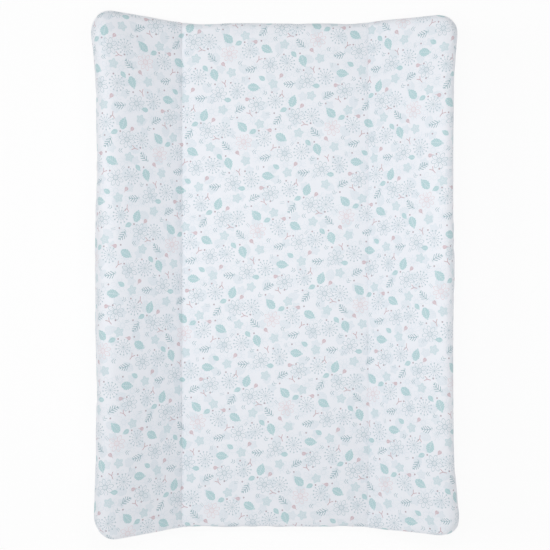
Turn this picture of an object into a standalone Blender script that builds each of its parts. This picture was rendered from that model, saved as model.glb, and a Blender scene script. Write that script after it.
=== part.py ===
"""Two-wedge baby changing mat: a zipped cloth cover over three blocks of foam.

Metres, +Z up. X runs across the mat and Y along it, with the head at +Y and the foot at -Y.
The origin is at the middle of the underside, on the surface that the mat lies on.
"""

import math

import bmesh
import bpy

MM = 0.001

# Whole mat. The width is that of the middle of the long sides, where the cloth draws in.
MAT_LENGTH = 700 * MM
MAT_WIDTH = 477 * MM
CENTRE_WIDTH = 257 * MM
CENTRE_HEIGHT = 34 * MM
CENTRE_CROWN = 2 * MM
WING_HEIGHT = 100 * MM
WING_EASE_SHARE = 0.4
SIDE_ROLL = 27 * MM
END_ROLL = 11 * MM
CORNER_RADIUS = 35 * MM
HEAD_LEFT_FLARE = 11 * MM
HEAD_RIGHT_FLARE = 7 * MM
FOOT_LEFT_FLARE = 5 * MM
FOOT_RIGHT_FLARE = 11 * MM
FLARE_POWER = 6

# Sewn creases between the centre and the wings, and the cloth strips that hold them down.
CREASE_DEPTH = 5 * MM
CREASE_REACH = 7 * MM
CREASE_NEAR_SHARE = 0.4
WEB_THICKNESS = 0.8 * MM

# Cover cloth and the seam that joins its two halves round the base.
CLOTH = 1.2 * MM
SEAM_HEIGHT = 8 * MM
SEAM_TUCK = 3.8 * MM
BASE_ROLL = 4 * MM
LEAST_WALL = 2 * MM

# Gaps between pieces.
TOUCH_GAP = 0.3 * MM
FOAM_EASE = 1.2 * MM
CORNER_EASE = 2 * MM
OVERRUN = 0.4 * MM

# Zip across the foot end: two rows of moulded teeth on woven tapes.
TOOTH_PITCH = 3.6 * MM
TOOTH_NECK = 0.9 * MM
TOOTH_REACH = 0.6 * MM
TOOTH_TIP_SHARE = 0.76
TOOTH_THICKNESS = 2.2 * MM
TIP_GAP = 0.5 * MM
BEAD_WIDTH = 0.8 * MM
TAPE_THICKNESS = 0.7 * MM
TAPE_HIDDEN = 6 * MM
ZIP_CLEARANCE = 0.3 * MM
SLOT_MARGIN = 0.8 * MM
SLOT_TAPER = 8 * MM
SLOT_END = 1 * MM
STOP_LENGTH = 2 * MM
BOTTOM_STOP_LENGTH = 3 * MM

# Zip slider. Shares of its length are measured from its middle towards its wide nose.
SLIDER_LENGTH = 12 * MM
PLATE_THICKNESS = 1 * MM
FLANGE_WIDTH = 0.8 * MM
FLANGE_SETBACK = 0.1 * MM
POST_WIDTH = 1.4 * MM
POST_LENGTH = 4.2 * MM
NOSE_CHAMFER = 0.7 * MM
WAIST_SHARE = -0.08
SHOULDER_SHARE = 0.18
SPREAD_START_SHARE = -0.12
SPREAD_STOP_SHARE = 0.21
POST_SHOULDER_SHARE = 0.4
POST_NOSE_SHARE = 0.7

# Bail on the slider, and the pull that hangs from it.
BAIL_LENGTH = 6.8 * MM
BAIL_STOCK = 0.9 * MM
BAIL_WIDTH = 2 * MM
BAIL_FULLNESS = 1.25
PULL_THICKNESS = 1 * MM
PULL_ARM = 1.3 * MM
PULL_LENGTH = 26 * MM
PULL_TIP_WIDTH = 6.4 * MM
PULL_HOLE = 2.6 * MM

# Mesh steps, and where rows and columns of the mesh stand along its flat parts.
ROLL_STEPS = 4
WALL_STEPS = 2
BASE_STEPS = 3
FOAM_STEPS = 3
SPREAD_STEPS = 6
ARC_STEPS = 8
ROW_SHARES = (0, 0.55, 0.8, 0.93, 1)
WING_SHARES = (0.35, 0.6, 0.82)
SHARP_ANGLE = math.radians(35)

# How the search for the wings' slope goes.
CREST_STEPS = 90
HALVINGS = 30
STEEPEST = 2

# Sizes worked out from those above.
HALF_LENGTH = MAT_LENGTH / 2
HALF_WIDTH = MAT_WIDTH / 2
CREASE_X = CENTRE_WIDTH / 2
WING_RUN = HALF_WIDTH - CREASE_X
EASE_START = WING_RUN * WING_EASE_SHARE
EASE_SPAN = WING_RUN - EASE_START
CORE = max(CORNER_RADIUS, SIDE_ROLL, END_ROLL)
FLAT_X = HALF_WIDTH - CORE
FLAT_Y = HALF_LENGTH - CORE
SLOT_X = FLAT_X - SLOT_TAPER
BEAD_INNER = TOOTH_REACH + TIP_GAP
BEAD_OUTER = BEAD_INNER + BEAD_WIDTH
TAPE_EDGE = BEAD_OUTER + ZIP_CLEARANCE
SPREAD = POST_WIDTH / 2 + TOOTH_REACH + ZIP_CLEARANCE
CHANNEL = TOOTH_THICKNESS / 2 + ZIP_CLEARANCE
TAIL_INNER = BEAD_OUTER + ZIP_CLEARANCE + FLANGE_SETBACK
TAIL_HALF = TAIL_INNER + FLANGE_WIDTH
NOSE_INNER = TAIL_INNER + SPREAD
NOSE_HALF = NOSE_INNER + FLANGE_WIDTH
SLOT_HEIGHT = 2 * (NOSE_HALF + SLOT_MARGIN)
SLOT_TOP = SEAM_HEIGHT + SLOT_HEIGHT
TAPE_TOP = SLOT_TOP + TAPE_HIDDEN
ZIP_Z = SEAM_HEIGHT + SLOT_HEIGHT / 2
ZIP_Y = HALF_LENGTH - SEAM_TUCK - CLOTH - TOUCH_GAP - TAPE_THICKNESS / 2
SKIN = CLOTH + FOAM_EASE
TAPE_INSET = HALF_LENGTH - ZIP_Y + TAPE_THICKNESS / 2 + TOUCH_GAP
BODY_OUTER = CHANNEL + PLATE_THICKNESS
SLIDER_INSET = HALF_LENGTH - ZIP_Y + BODY_OUTER + ZIP_CLEARANCE
SIDE_INSET = SEAM_TUCK + SKIN
ROLL_AT_END = min(END_ROLL, CENTRE_HEIGHT - SLOT_TOP - LEAST_WALL)
FOAM_FOOT = CLOTH + TOUCH_GAP
PULL_HEIGHT = math.hypot(PULL_THICKNESS, PULL_THICKNESS) / 2 + ZIP_CLEARANCE
ROW_LEFT = -SLOT_X + SLOT_END + BOTTOM_STOP_LENGTH + ZIP_CLEARANCE
ROW_RIGHT = SLOT_X - SLOT_END - STOP_LENGTH - ZIP_CLEARANCE
SLIDER_X = ROW_RIGHT - ZIP_CLEARANCE - SLIDER_LENGTH / 2


def eased_by(past):
    """Share of the way, past the crease, over which a wing's slope has eased to level."""
    return min(1, max(0, (past - EASE_START) / EASE_SPAN))


def climb(past):
    """Rise of a wing of slope 1: straight at first, then easing to level at the mat's side."""
    return min(past, WING_RUN) - EASE_SPAN / 3 * eased_by(past) ** 3


def crest_height(slope):
    """Top of a wing whose side rolls down from that slope."""
    turns = [math.pi / 2 * k / CREST_STEPS for k in range(CREST_STEPS + 1)]
    return CENTRE_HEIGHT + max(
        slope * climb(WING_RUN - SIDE_ROLL * (1 - math.sin(turn)))
        - SIDE_ROLL * (1 - math.cos(turn))
        for turn in turns
    )


def wing_slope():
    """The slope that brings the rolled top of a wing to WING_HEIGHT, found by halving."""
    low, high = 0, STEEPEST
    for _ in range(HALVINGS):
        middle = (low + high) / 2
        if crest_height(middle) < WING_HEIGHT:
            low = middle
        else:
            high = middle
    return high


SLOPE = wing_slope()


def top_height(x, y):
    """Height of the cover's top before its edges roll down."""
    past = abs(x) - CREASE_X
    if past < 0:
        crown = CENTRE_CROWN * (1 - (x / CREASE_X) ** 2)
        height = CENTRE_HEIGHT + crown * (1 - (y / HALF_LENGTH) ** 2)
    else:
        height = CENTRE_HEIGHT + SLOPE * climb(past)
    inside = max(0, 1 - abs(past) / CREASE_REACH)
    return height - CREASE_DEPTH * inside ** 2


def ease(t):
    t = min(1, max(0, t))
    return t * t * (3 - 2 * t)


def flared(x, y):
    """The long sides draw in, so each corner stands out further, by its own flare."""
    if y > 0:
        flare = HEAD_RIGHT_FLARE if x > 0 else HEAD_LEFT_FLARE
    else:
        flare = FOOT_RIGHT_FLARE if x > 0 else FOOT_LEFT_FLARE
    out = ease((abs(x) - CREASE_X) / (FLAT_X - CREASE_X))
    return x + math.copysign(flare * out * (abs(y) / HALF_LENGTH) ** FLARE_POWER, x)


def corner_angle(station):
    """Direction of a grid station from a corner's centre: 0 across the mat, 90 along it."""
    (x, ring_x), (y, ring_y) = station
    if ring_x >= ring_y:
        return math.pi / 4 * ring_y / ring_x if ring_x else 0
    return math.pi / 2 - math.pi / 4 * ring_x / ring_y


def at_end(angle):
    """How far a direction faces the ends of the mat: 0 at the sides and 1 at the ends."""
    return math.sin(angle) ** 2


def mixed(side, end, angle):
    return side + (end - side) * at_end(angle)


def spot(station, reach):
    """Plan position of a grid station, where rings stand reach out from the flat part."""
    (x, ring_x), (y, ring_y) = station
    angle = corner_angle(station)
    if ring_x:
        x += math.copysign(reach * math.cos(angle), x)
    if ring_y:
        y += math.copysign(reach * math.sin(angle), y)
    return x, y


def ring_of(station):
    return max(station[0][1], station[1][1])


def axis_stations(flats, rings):
    """Stations from edge to edge as (position, ring), where ring 0 is the flat part."""
    positive = [(p, 0) for p in flats] + [(flats[-1], k) for k in range(1, rings + 1)]
    return [(-p, k) for p, k in reversed(positive) if p > 0] + positive


def crease_flats():
    near = CREASE_REACH * CREASE_NEAR_SHARE
    centre = [0, (CREASE_X - CREASE_REACH) / 2, CREASE_X - CREASE_REACH, CREASE_X - near]
    return centre, [CREASE_X + near, CREASE_X + CREASE_REACH]


def wing_flats():
    start = CREASE_X + CREASE_REACH
    return [start + (FLAT_X - start) * share for share in WING_SHARES]


def row_stations(rings):
    return axis_stations([FLAT_Y * share for share in ROW_SHARES], rings)


def lofted(name, columns, rows, levels, collection, material, facing_down=False):
    """A grid placed by the first level. Each further level is extruded from the last."""
    stations = [(c, r) for r in rows for c in columns]
    work = bmesh.new()
    index = work.verts.layers.int.new("station")
    bmesh.ops.create_grid(
        work, x_segments=len(columns) - 1, y_segments=len(rows) - 1, size=HALF_LENGTH
    )
    for number, vertex in enumerate(work.verts):
        vertex[index] = number
        vertex.co = levels[0](stations[number])
    sheet = list(work.faces) + list(work.edges) + list(work.verts)
    for level in levels[1:]:
        sheet = bmesh.ops.extrude_face_region(work, geom=sheet)["geom"]
        for part in sheet:
            if isinstance(part, bmesh.types.BMVert):
                part.co = level(stations[part[index]])
    if len(levels) > 1:
        bmesh.ops.recalc_face_normals(work, faces=work.faces)
    elif facing_down:
        bmesh.ops.reverse_faces(work, faces=work.faces)
    mesh = bpy.data.meshes.new(name)
    work.to_mesh(mesh)
    work.free()
    return finished(bpy.data.objects.new(name, mesh), collection, material)


def finished(item, collection, material):
    collection.objects.link(item)
    item.data.materials.append(material)
    if item.type == "MESH":
        item.data.shade_smooth()
        item.data.set_sharp_from_angle(angle=SHARP_ANGLE)
    return item


def thicken(item):
    """Cloth: the surface is the outer face and its thickness goes inwards."""
    solidify = item.modifiers.new("cloth", "SOLIDIFY")
    solidify.thickness = CLOTH
    solidify.offset = -1
    solidify.use_even_offset = True


def cover_point(station):
    """The top cover: a flat field, a rolled edge, then a wall down to the hem."""
    (x, ring_x), (y, ring_y) = station
    ring = ring_of(station)
    if ring == 0:
        return flared(x, y), y, top_height(x, y)
    angle = corner_angle(station)
    radius = mixed(SIDE_ROLL, ROLL_AT_END, angle)
    turn = math.pi / 2 * min(1, ring / ROLL_STEPS)
    down = max(0, ring - ROLL_STEPS) / WALL_STEPS
    plan = spot(station, CORE - radius + radius * math.sin(turn) - SEAM_TUCK * down ** 2)
    top = top_height(*plan) - radius * (1 - math.cos(turn))
    at_zip = y < 0 and ring_x == 0 and abs(x) <= SLOT_X + TOUCH_GAP
    hem = SLOT_TOP if at_zip else SEAM_HEIGHT + TOUCH_GAP
    return flared(*plan), plan[1], top + (hem - top) * down


def make_top_cover(collection, material):
    centre, toe = crease_flats()
    wing = sorted(wing_flats() + [SLOT_X, FLAT_X])
    columns = axis_stations(centre + [CREASE_X] + toe + wing, ROLL_STEPS + WALL_STEPS)
    rows = row_stations(ROLL_STEPS + WALL_STEPS)
    cover = lofted("top_cover", columns, rows, [cover_point], collection, material)
    thicken(cover)


def back_point(station):
    """The back cover: a flat sheet whose edge turns up to the base seam."""
    ring = ring_of(station)
    if ring == 0:
        (x, _), (y, _) = station
        return flared(x, y), y, 0
    turn = math.pi / 2 * min(1, (ring - 1) / BASE_STEPS)
    plan = spot(station, CORE - SEAM_TUCK - BASE_ROLL * (1 - math.sin(turn)))
    height = SEAM_HEIGHT if ring > BASE_STEPS + 1 else BASE_ROLL * (1 - math.cos(turn))
    return flared(*plan), plan[1], height


def make_back_cover(collection, material):
    columns = axis_stations([0, CREASE_X, SLOT_X, FLAT_X], BASE_STEPS + 2)
    rows = row_stations(BASE_STEPS + 2)
    back = lofted("back_cover", columns, rows, [back_point], collection, material, True)
    thicken(back)


def foam_top(station):
    """The block's top, a skin's thickness under the cover's and rolled like it."""
    ring = ring_of(station)
    angle = corner_angle(station)
    radius = mixed(SIDE_ROLL, ROLL_AT_END, angle)
    inset = SKIN + FOAM_EASE
    inset = mixed(inset, TAPE_INSET if station[1][0] < 0 else inset, angle)
    turn = math.asin(max(0, 1 - inset / radius)) * ring / FOAM_STEPS
    plan = spot(station, CORE - radius + radius * math.sin(turn))
    past = abs(plan[0]) - CREASE_X
    across = SLOPE * (1 - eased_by(past) ** 2) if past > 0 else 0
    if abs(past) < CREASE_REACH:
        across += 2 * CREASE_DEPTH / CREASE_REACH
    if ring:
        across -= math.tan(turn) * math.cos(angle)
    along = math.tan(turn) * math.sin(angle)
    skin = (SKIN + CORNER_EASE * math.sin(2 * angle)) * math.hypot(1, across, along)
    top = top_height(*plan) - radius * (1 - math.cos(turn)) - skin
    return flared(*plan), plan[1], top


def foam_level(height, foot_inset, drawn_in=0):
    """A level of the block's upright sides, clear of the seam and, at the foot, of the zip."""

    def place(station):
        ring = ring_of(station)
        angle = corner_angle(station)
        inset = mixed(SIDE_INSET, foot_inset if station[1][0] < 0 else SIDE_INSET, angle)
        pulled = drawn_in if ring == FOAM_STEPS else 0
        plan = spot(station, (CORE - inset) * ring / FOAM_STEPS - pulled)
        return flared(*plan), plan[1], min(height, foam_top(station)[2] - TOUCH_GAP)

    return place


def make_foams(collection, material):
    centre, toe = crease_flats()
    beside_web = WEB_THICKNESS / 2 + TOUCH_GAP
    levels = [
        foam_top,
        foam_level(SLOT_TOP, SLIDER_INSET),
        foam_level(FOAM_FOOT + BASE_ROLL, SLIDER_INSET),
        foam_level(FOAM_FOOT, SLIDER_INSET, BASE_ROLL),
    ]
    rows = row_stations(FOAM_STEPS)
    middle = axis_stations(centre + [CREASE_X - beside_web], 0)
    lofted("centre_foam", middle, rows, levels, collection, material)
    flats = [CREASE_X + beside_web] + toe + wing_flats() + [FLAT_X]
    right = [(p, 0) for p in flats] + [(FLAT_X, k) for k in range(1, FOAM_STEPS + 1)]
    left = [(-p, k) for p, k in reversed(right)]
    lofted("right_wedge_foam", right, rows, levels, collection, material)
    lofted("left_wedge_foam", left, rows, levels, collection, material)


def cuboid(name, size, centre, collection, material, parent=None):
    bpy.ops.mesh.primitive_cube_add(size=1, scale=size)
    item = bpy.context.object
    bpy.ops.object.transform_apply(scale=True)
    for other in item.users_collection:
        other.objects.unlink(item)
    item.name = name
    item.data.name = name
    item.parent = parent
    item.location = centre
    return finished(item, collection, material)


def make_webs(collection, material):
    """Upright strips of cloth, sewn to the crease above and to the back cover below."""
    top = CENTRE_HEIGHT - CREASE_DEPTH - 2 * CLOTH - 2 * TOUCH_GAP
    size = (WEB_THICKNESS, 2 * (HALF_LENGTH - SLIDER_INSET), top - FOAM_FOOT)
    for name, side in (("left_crease_web", -1), ("right_crease_web", 1)):
        place = (side * CREASE_X, 0, (FOAM_FOOT + top) / 2)
        cuboid(name, size, place, collection, material)


def spread(x):
    """How far a row of teeth leaves the centre line, to pass round the slider's post."""
    start = SLIDER_X + SLIDER_LENGTH * SPREAD_START_SHARE
    stop = SLIDER_X + SLIDER_LENGTH * SPREAD_STOP_SHARE
    return SPREAD * ease((x - start) / (stop - start))


def spread_stations():
    start = SLIDER_X + SLIDER_LENGTH * SPREAD_START_SHARE
    step = SLIDER_LENGTH * (SPREAD_STOP_SHARE - SPREAD_START_SHARE) / SPREAD_STEPS
    return [start + step * k for k in range(SPREAD_STEPS + 1)]


def flat_solid(name, outlines, thickness, collection, material, parent):
    """Closed outlines in the zip's plane, filled and extruded; later outlines are holes."""
    curve = bpy.data.curves.new(name, "CURVE")
    curve.dimensions = "2D"
    curve.fill_mode = "BOTH"
    curve.extrude = thickness / 2
    for outline in outlines:
        spline = curve.splines.new("POLY")
        spline.points.add(len(outline) - 1)
        for point, (u, v) in zip(spline.points, outline):
            point.co = (u, v, 0, 1)
        spline.use_cyclic_u = True
    item = bpy.data.objects.new(name, curve)
    item.parent = parent
    return finished(item, collection, material)


def tooth_outline(side):
    """One row: a bead along the tape's edge, with hammer-headed teeth that hook the other's."""
    head = TOOTH_PITCH / 2 - ZIP_CLEARANCE
    waist = (TOOTH_REACH - BEAD_INNER) / 2
    half_tooth = [
        (TOOTH_NECK / 2, BEAD_INNER),
        (head / 2, -waist),
        (head / 2 * TOOTH_TIP_SHARE, -TOOTH_REACH),
    ]
    phase = 0 if side > 0 else TOOTH_PITCH / 2
    count = int((ROW_RIGHT - ROW_LEFT - phase) / TOOTH_PITCH)
    edge = [(ROW_LEFT, BEAD_INNER)]
    for k in range(count):
        middle = ROW_LEFT + phase + TOOTH_PITCH * (2 * k + 1) / 2
        edge += [(middle - u, v) for u, v in half_tooth]
        edge += [(middle + u, v) for u, v in reversed(half_tooth)]
    edge.append((ROW_RIGHT, BEAD_INNER))
    back = [(x, BEAD_OUTER) for x in spread_stations() if x < ROW_RIGHT]
    back = [(ROW_RIGHT, BEAD_OUTER)] + back[::-1] + [(ROW_LEFT, BEAD_OUTER)]
    return [(x, side * (z + spread(x))) for x, z in edge + back]


def tape_outline(side):
    """A woven tape: its inner edge follows the row of teeth, the rest hides behind the cloth."""
    far = FLAT_X - TOUCH_GAP
    outer = TAPE_TOP - ZIP_Z if side > 0 else ZIP_Z - BASE_ROLL
    inner = [(-far, TAPE_EDGE)]
    inner += [(x, TAPE_EDGE + spread(x)) for x in spread_stations()]
    inner.append((far, TAPE_EDGE + SPREAD))
    return [(x, side * z) for x, z in inner + [(far, outer), (-far, outer)]]


def slider_plate_outline():
    """Shield shape: narrow where the closed chain leaves, wide where the two rows enter."""
    half = SLIDER_LENGTH / 2
    side = [
        (-half, TAIL_HALF - NOSE_CHAMFER / 2),
        (-half + NOSE_CHAMFER, TAIL_HALF),
        (SLIDER_LENGTH * WAIST_SHARE, TAIL_HALF),
        (SLIDER_LENGTH * SHOULDER_SHARE, NOSE_HALF),
        (half - NOSE_CHAMFER, NOSE_HALF),
        (half, NOSE_HALF - NOSE_CHAMFER),
    ]
    return side + [(u, -v) for u, v in reversed(side)]


def flange_outline(side):
    half = SLIDER_LENGTH / 2
    inner = [
        (half - 2 * NOSE_CHAMFER, NOSE_INNER),
        (SLIDER_LENGTH * SHOULDER_SHARE, NOSE_INNER),
        (SLIDER_LENGTH * WAIST_SHARE, TAIL_INNER),
        (-half + NOSE_CHAMFER, TAIL_INNER),
    ]
    outer = [(u, v + FLANGE_WIDTH - FLANGE_SETBACK) for u, v in reversed(inner)]
    return [(u, side * v) for u, v in inner + outer]


def post_outline():
    """Wedge between the plates that parts the two rows."""
    front = SLIDER_LENGTH / 2 - NOSE_CHAMFER
    rear = front - POST_LENGTH
    shoulder = rear + POST_LENGTH * POST_SHOULDER_SHARE
    half = POST_WIDTH / 2
    nose = half * POST_NOSE_SHARE
    return [(rear, 0), (shoulder, -half), (front, -nose), (front, nose), (shoulder, half)]


def bail_outline():
    """Arch over the outer plate that holds the pull's bar, seen from the side."""
    foot = -PLATE_THICKNESS / 2
    rings = []
    for half, top in (
        (BAIL_LENGTH / 2, 2 * PULL_HEIGHT + BAIL_STOCK),
        (BAIL_LENGTH / 2 - BAIL_STOCK, 2 * PULL_HEIGHT),
    ):
        turns = [math.pi * k / ARC_STEPS for k in range(1, ARC_STEPS)]
        ring = [(half * math.cos(t), top * min(1, BAIL_FULLNESS * math.sin(t))) for t in turns]
        rings.append([(half, foot)] + ring + [(-half, foot)])
    outer, inner = rings
    return outer + inner[::-1]


def as_mesh(item):
    """A curve becomes a welded mesh in the same place, so that it can be joined."""
    bpy.context.view_layer.update()
    evaluated = item.evaluated_get(bpy.context.evaluated_depsgraph_get())
    mesh = bpy.data.meshes.new_from_object(evaluated)
    work = bmesh.new()
    work.from_mesh(mesh)
    bmesh.ops.remove_doubles(work, verts=work.verts, dist=TOUCH_GAP / 100)
    bmesh.ops.recalc_face_normals(work, faces=work.faces)
    work.to_mesh(mesh)
    work.free()
    name, place, parent = item.name, item.matrix_world.copy(), item.parent
    groups = list(item.users_collection)
    bpy.data.objects.remove(item)
    solid = bpy.data.objects.new(name, mesh)
    for group in groups:
        group.objects.link(solid)
    solid.parent = parent
    solid.matrix_world = place
    return solid


def join_to(base, item):
    item.hide_render = True
    item.display_type = "WIRE"
    union = base.modifiers.new("join " + item.name, "BOOLEAN")
    union.operation = "UNION"
    union.object = item


def make_slider(zip_frame, collection, helpers, material):
    """Two plates joined by the post, with flanges that wrap the chain and a bail on top."""
    carrier = bpy.data.objects.new("zip_slider_frame", None)
    collection.objects.link(carrier)
    carrier.parent = zip_frame
    carrier.location = (SLIDER_X, 0, 0)
    plate = slider_plate_outline()
    mid_plate = CHANNEL + PLATE_THICKNESS / 2
    slider = flat_solid("zip_slider", [plate], PLATE_THICKNESS, collection, material, carrier)
    slider.location = (0, 0, mid_plate)
    slider = as_mesh(slider)

    def add(name, outline, thickness, height):
        piece = flat_solid(name, [outline], thickness, helpers, material, carrier)
        piece.location = (0, 0, height)
        join_to(slider, as_mesh(piece))

    add("inner_plate", plate, PLATE_THICKNESS, -mid_plate)
    add("post", post_outline(), 2 * mid_plate, 0)
    tape_slot = TAPE_THICKNESS / 2 + ZIP_CLEARANCE
    depth = CHANNEL - tape_slot + OVERRUN
    for side, side_name in ((1, "upper"), (-1, "lower")):
        for face, face_name in ((1, "outer"), (-1, "inner")):
            name = side_name + "_" + face_name + "_flange"
            add(name, flange_outline(side), depth, face * (tape_slot + depth / 2))
    bail = flat_solid("bail", [bail_outline()], BAIL_WIDTH, helpers, material, carrier)
    bail.rotation_euler = (math.pi / 2, 0, 0)
    bail.location = (0, 0, BODY_OUTER)
    join_to(slider, as_mesh(bail))
    return carrier


def arc(u, v, radius, start, stop):
    turns = [start + (stop - start) * k / ARC_STEPS for k in range(ARC_STEPS + 1)]
    return [(u + radius * math.cos(t), v + radius * math.sin(t)) for t in turns]


def make_pull(carrier, collection, material):
    """Flat pull whose end bar turns under the bail, lying back along the closed chain."""
    hinge = bpy.data.objects.new("zip_pull_frame", None)
    collection.objects.link(hinge)
    hinge.parent = carrier
    hinge.location = (0, 0, BODY_OUTER + PULL_HEIGHT)
    bar = PULL_THICKNESS / 2
    eye_half = BAIL_WIDTH / 2 + ZIP_CLEARANCE
    eye_far = BAIL_LENGTH / 2 + 2 * ZIP_CLEARANCE + bar
    neck_half = eye_half + PULL_ARM
    neck_far = eye_far + PULL_ARM
    tip = PULL_TIP_WIDTH / 2
    tip_u = tip - PULL_LENGTH
    outline = [(bar, neck_half), (-neck_far, neck_half)]
    outline += arc(tip_u, 0, tip, math.pi / 2, 3 * math.pi / 2)
    outline += [(-neck_far, -neck_half), (bar, -neck_half)]
    eye = [(-bar, eye_half), (-bar, -eye_half), (-eye_far, -eye_half), (-eye_far, eye_half)]
    hole = arc(tip_u, 0, PULL_HOLE / 2, 0, -2 * math.pi)[:-1]
    flat_solid("zip_pull", [outline, eye, hole], PULL_THICKNESS, collection, material, hinge)


def make_stops(zip_frame, collection, material):
    """Top stops end each row where the zip closes; the bottom stop bridges the other ends."""
    thickness = TOOTH_THICKNESS + ZIP_CLEARANCE
    x = ROW_RIGHT + ZIP_CLEARANCE + STOP_LENGTH / 2
    z = (BEAD_INNER + BEAD_OUTER) / 2 + SPREAD
    size = (STOP_LENGTH, BEAD_WIDTH, thickness)
    for name, side in (("upper_top_stop", 1), ("lower_top_stop", -1)):
        cuboid(name, size, (x, side * z, 0), collection, material, zip_frame)
    x = ROW_LEFT - ZIP_CLEARANCE - BOTTOM_STOP_LENGTH / 2
    size = (BOTTOM_STOP_LENGTH, 2 * BEAD_OUTER, thickness)
    cuboid("bottom_stop", size, (x, 0, 0), collection, material, zip_frame)


def make_zip(collection, helpers, cloth, plastic, metal):
    """The zip's own frame: u along X, v up, w outwards through the foot end."""
    zip_frame = bpy.data.objects.new("zip_frame", None)
    collection.objects.link(zip_frame)
    zip_frame.location = (0, -ZIP_Y, ZIP_Z)
    zip_frame.rotation_euler = (math.pi / 2, 0, 0)
    for name, side in (("upper", 1), ("lower", -1)):
        tape, teeth = tape_outline(side), tooth_outline(side)
        flat_solid(name + "_zip_tape", [tape], TAPE_THICKNESS, collection, cloth, zip_frame)
        flat_solid(name + "_zip_teeth", [teeth], TOOTH_THICKNESS, collection, plastic, zip_frame)
    make_stops(zip_frame, collection, plastic)
    carrier = make_slider(zip_frame, collection, helpers, metal)
    make_pull(carrier, collection, metal)


def new_material(name, colour, roughness, metallic=0.0):
    material = bpy.data.materials.new(name)
    material.use_nodes = True
    shader = material.node_tree.nodes["Principled BSDF"]
    shader.inputs["Base Color"].default_value = (*colour, 1)
    shader.inputs["Roughness"].default_value = roughness
    shader.inputs["Metallic"].default_value = metallic
    return material


def new_collection(name):
    collection = bpy.data.collections.new(name)
    bpy.context.scene.collection.children.link(collection)
    return collection


def main():
    for item in list(bpy.data.objects):
        bpy.data.objects.remove(item)
    collection = new_collection("changing_mat")
    helpers = new_collection("helpers")
    printed = new_material("printed_cloth", (0.82, 0.86, 0.90), 0.45)
    plain = new_material("plain_cloth", (0.84, 0.85, 0.87), 0.5)
    lining = new_material("lining", (0.80, 0.80, 0.80), 0.9)
    foam = new_material("foam", (0.86, 0.83, 0.70), 0.95)
    tape = new_material("zip_tape", (0.82, 0.84, 0.86), 0.85)
    teeth = new_material("zip_teeth", (0.86, 0.88, 0.90), 0.35)
    metal = new_material("zip_metal", (0.78, 0.78, 0.79), 0.25, 1.0)
    make_top_cover(collection, printed)
    make_back_cover(collection, plain)
    make_foams(collection, foam)
    make_webs(collection, lining)
    make_zip(collection, helpers, tape, teeth, metal)


main()
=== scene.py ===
import math

import bmesh
import bpy
import numpy as np
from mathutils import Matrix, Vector


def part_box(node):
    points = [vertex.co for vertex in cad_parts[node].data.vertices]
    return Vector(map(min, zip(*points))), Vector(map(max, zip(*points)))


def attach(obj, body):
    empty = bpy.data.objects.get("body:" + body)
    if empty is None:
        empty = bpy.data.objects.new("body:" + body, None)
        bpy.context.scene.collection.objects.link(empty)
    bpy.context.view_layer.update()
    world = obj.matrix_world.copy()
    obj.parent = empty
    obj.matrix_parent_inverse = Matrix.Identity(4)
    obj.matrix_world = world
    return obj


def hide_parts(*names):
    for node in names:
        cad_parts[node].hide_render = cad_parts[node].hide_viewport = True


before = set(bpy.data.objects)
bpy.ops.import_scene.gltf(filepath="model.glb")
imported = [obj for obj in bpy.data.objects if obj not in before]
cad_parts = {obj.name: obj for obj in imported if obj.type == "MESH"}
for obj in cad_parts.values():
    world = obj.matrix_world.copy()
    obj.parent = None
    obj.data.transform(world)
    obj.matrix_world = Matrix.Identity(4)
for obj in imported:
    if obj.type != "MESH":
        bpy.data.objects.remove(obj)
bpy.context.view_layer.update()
print("frame loaded")

mm = 0.001

# Sizes of the mat in millimetres, as in the frame. Some come in pairs, one for each side.
mat = {
    "halfLength": 350.0,
    "halfWidth": 238.5,
    "creaseX": 128.5,
    "centreHeight": 34.0,
    "centreCrown": 2.0,
    "slope": {"left": 0.8085, "right": 0.7792},
    "easeFrom": 0.4,
    "core": 35.0,  # width of the rim, in which the rolls and the walls lie
    "sideRoll": {"left": 27.0, "right": 18.0},
    "endRoll": 11.0,
    "creaseDepth": {"left": 1.7, "right": 1.0},
    "creaseReach": {"centre": 6.0, "leftWing": 7.0, "rightWing": 2.0},
    "flares": {"headLeft": 11.0, "headRight": 7.0, "footLeft": 5.0, "footRight": 11.0},
    "flarePower": 6,
    "shortRight": 2.5,
    "seam": 8.0,
    "seamGap": 0.3,
    "tuck": 3.8,
    "cloth": 1.2,
    "slotX": 194.4,  # the zip's slot, measured after the corners have flared, and its sloping ends
    "slotEnd": 5.0,
    "slotTop": 19.0,
    "slotAngle": {"from": 1.45, "over": 0.1},  # direction at which the wall faces the foot
}
hem = {"lip": 1.4, "curl": 0.6, "run": 2.5}  # turned edge: its roll, the roll's share, its flat run
flatX = mat["halfWidth"] - mat["core"]
flatY = mat["halfLength"] - mat["core"]
quarter = math.pi / 2
tiny = 1e-6


# Nodes

class Num:
    # A number that changes over the surface. Arithmetic on it adds Math nodes to its tree.
    def __init__(self, tree, socket):
        self.tree, self.socket = tree, socket

    def __add__(self, other):
        return maths("ADD", self, other)

    def __sub__(self, other):
        return maths("SUBTRACT", self, other)

    def __rsub__(self, other):
        return maths("SUBTRACT", other, self)

    def __mul__(self, other):
        return maths("MULTIPLY", self, other)

    def __truediv__(self, other):
        return maths("DIVIDE", self, other)

    __radd__, __rmul__ = __add__, __mul__


def plug(tree, value, socket):
    if isinstance(value, Num):
        tree.links.new(value.socket, socket)
    elif value is not None:
        socket.default_value = value


def maths(operation, *values):
    tree = next(value.tree for value in values if isinstance(value, Num))
    node = tree.nodes.new("ShaderNodeMath")
    node.operation = operation
    for value, socket in zip(values, node.inputs):
        plug(tree, value, socket)
    return Num(tree, node.outputs[0])


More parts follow.
